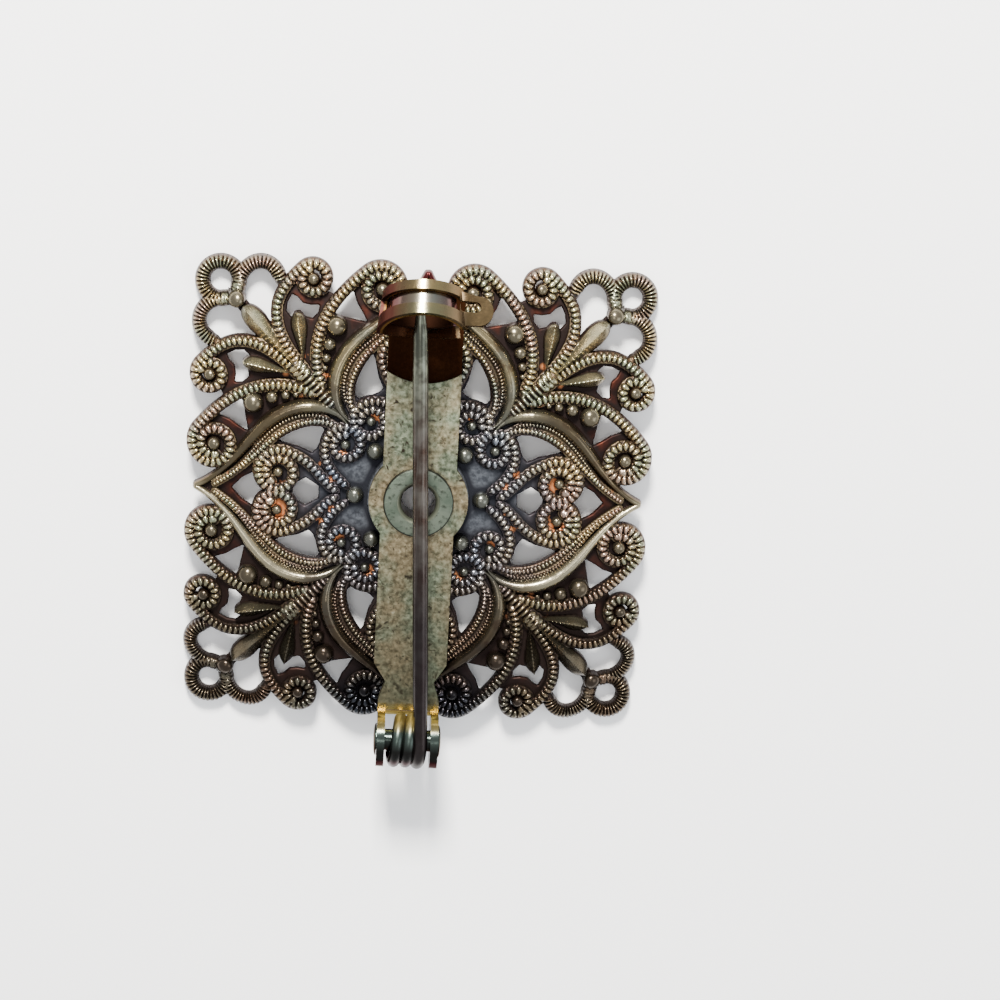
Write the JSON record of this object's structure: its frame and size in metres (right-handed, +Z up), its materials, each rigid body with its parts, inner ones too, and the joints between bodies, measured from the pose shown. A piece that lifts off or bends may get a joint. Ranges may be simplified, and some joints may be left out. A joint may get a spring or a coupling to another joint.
{
  "type": "filigree brooch",
  "caption": "Square pierced filigree brooch lying face down, with a riveted pin bar, a coiled hinged pin and a turning safety catch.",
  "frame": {"origin": "on the surface the brooch lies on, under the middle of its outline", "axes": "+Z up from the surface to the pin, +Y along the pin from its hinge to the catch, +X towards the mouth of the catch"},
  "size_m": [0.033, 0.0354, 0.0101],
  "materials": {
    "antique_brass": "antiqued: dark in the recesses, worn bright on the milled crests",
    "bar_brass": "mottled satin",
    "rivet_brass": "satin with a lighter ring",
    "catch_brass": "smooth, half bright",
    "pin_steel": "drawn wire, browned"
  },
  "bodies": {
    "brooch": {"filigree": "antique_brass", "pin_bar": "bar_brass", "rivet": "rivet_brass"},
    "sleeve": {"catch_sleeve": "catch_brass"},
    "axle": {"hinge_axle": "catch_brass"},
    "pin": {"pin_wire": "pin_steel"}
  },
  "joints": [
    {"name": "catch_turn", "type": "hinge", "parent": "brooch", "child": "sleeve", "pos_m": [-0.00035, 0.01587, 0.00665], "axis": [0, 0.9397, -0.342], "range_deg": [0, 85]},
    {"name": "pin_swing", "type": "hinge", "parent": "brooch", "child": "axle", "pos_m": [0, -0.01573, 0.00515], "axis": [1, 0, 0], "range_deg": [0, 110]},
    {"name": "pin_sidestep", "type": "hinge", "parent": "axle", "child": "pin", "pos_m": [0, -0.01573, 0.00515], "axis": [0, 0, -1], "range_deg": [0, 6.5]}
  ]
}
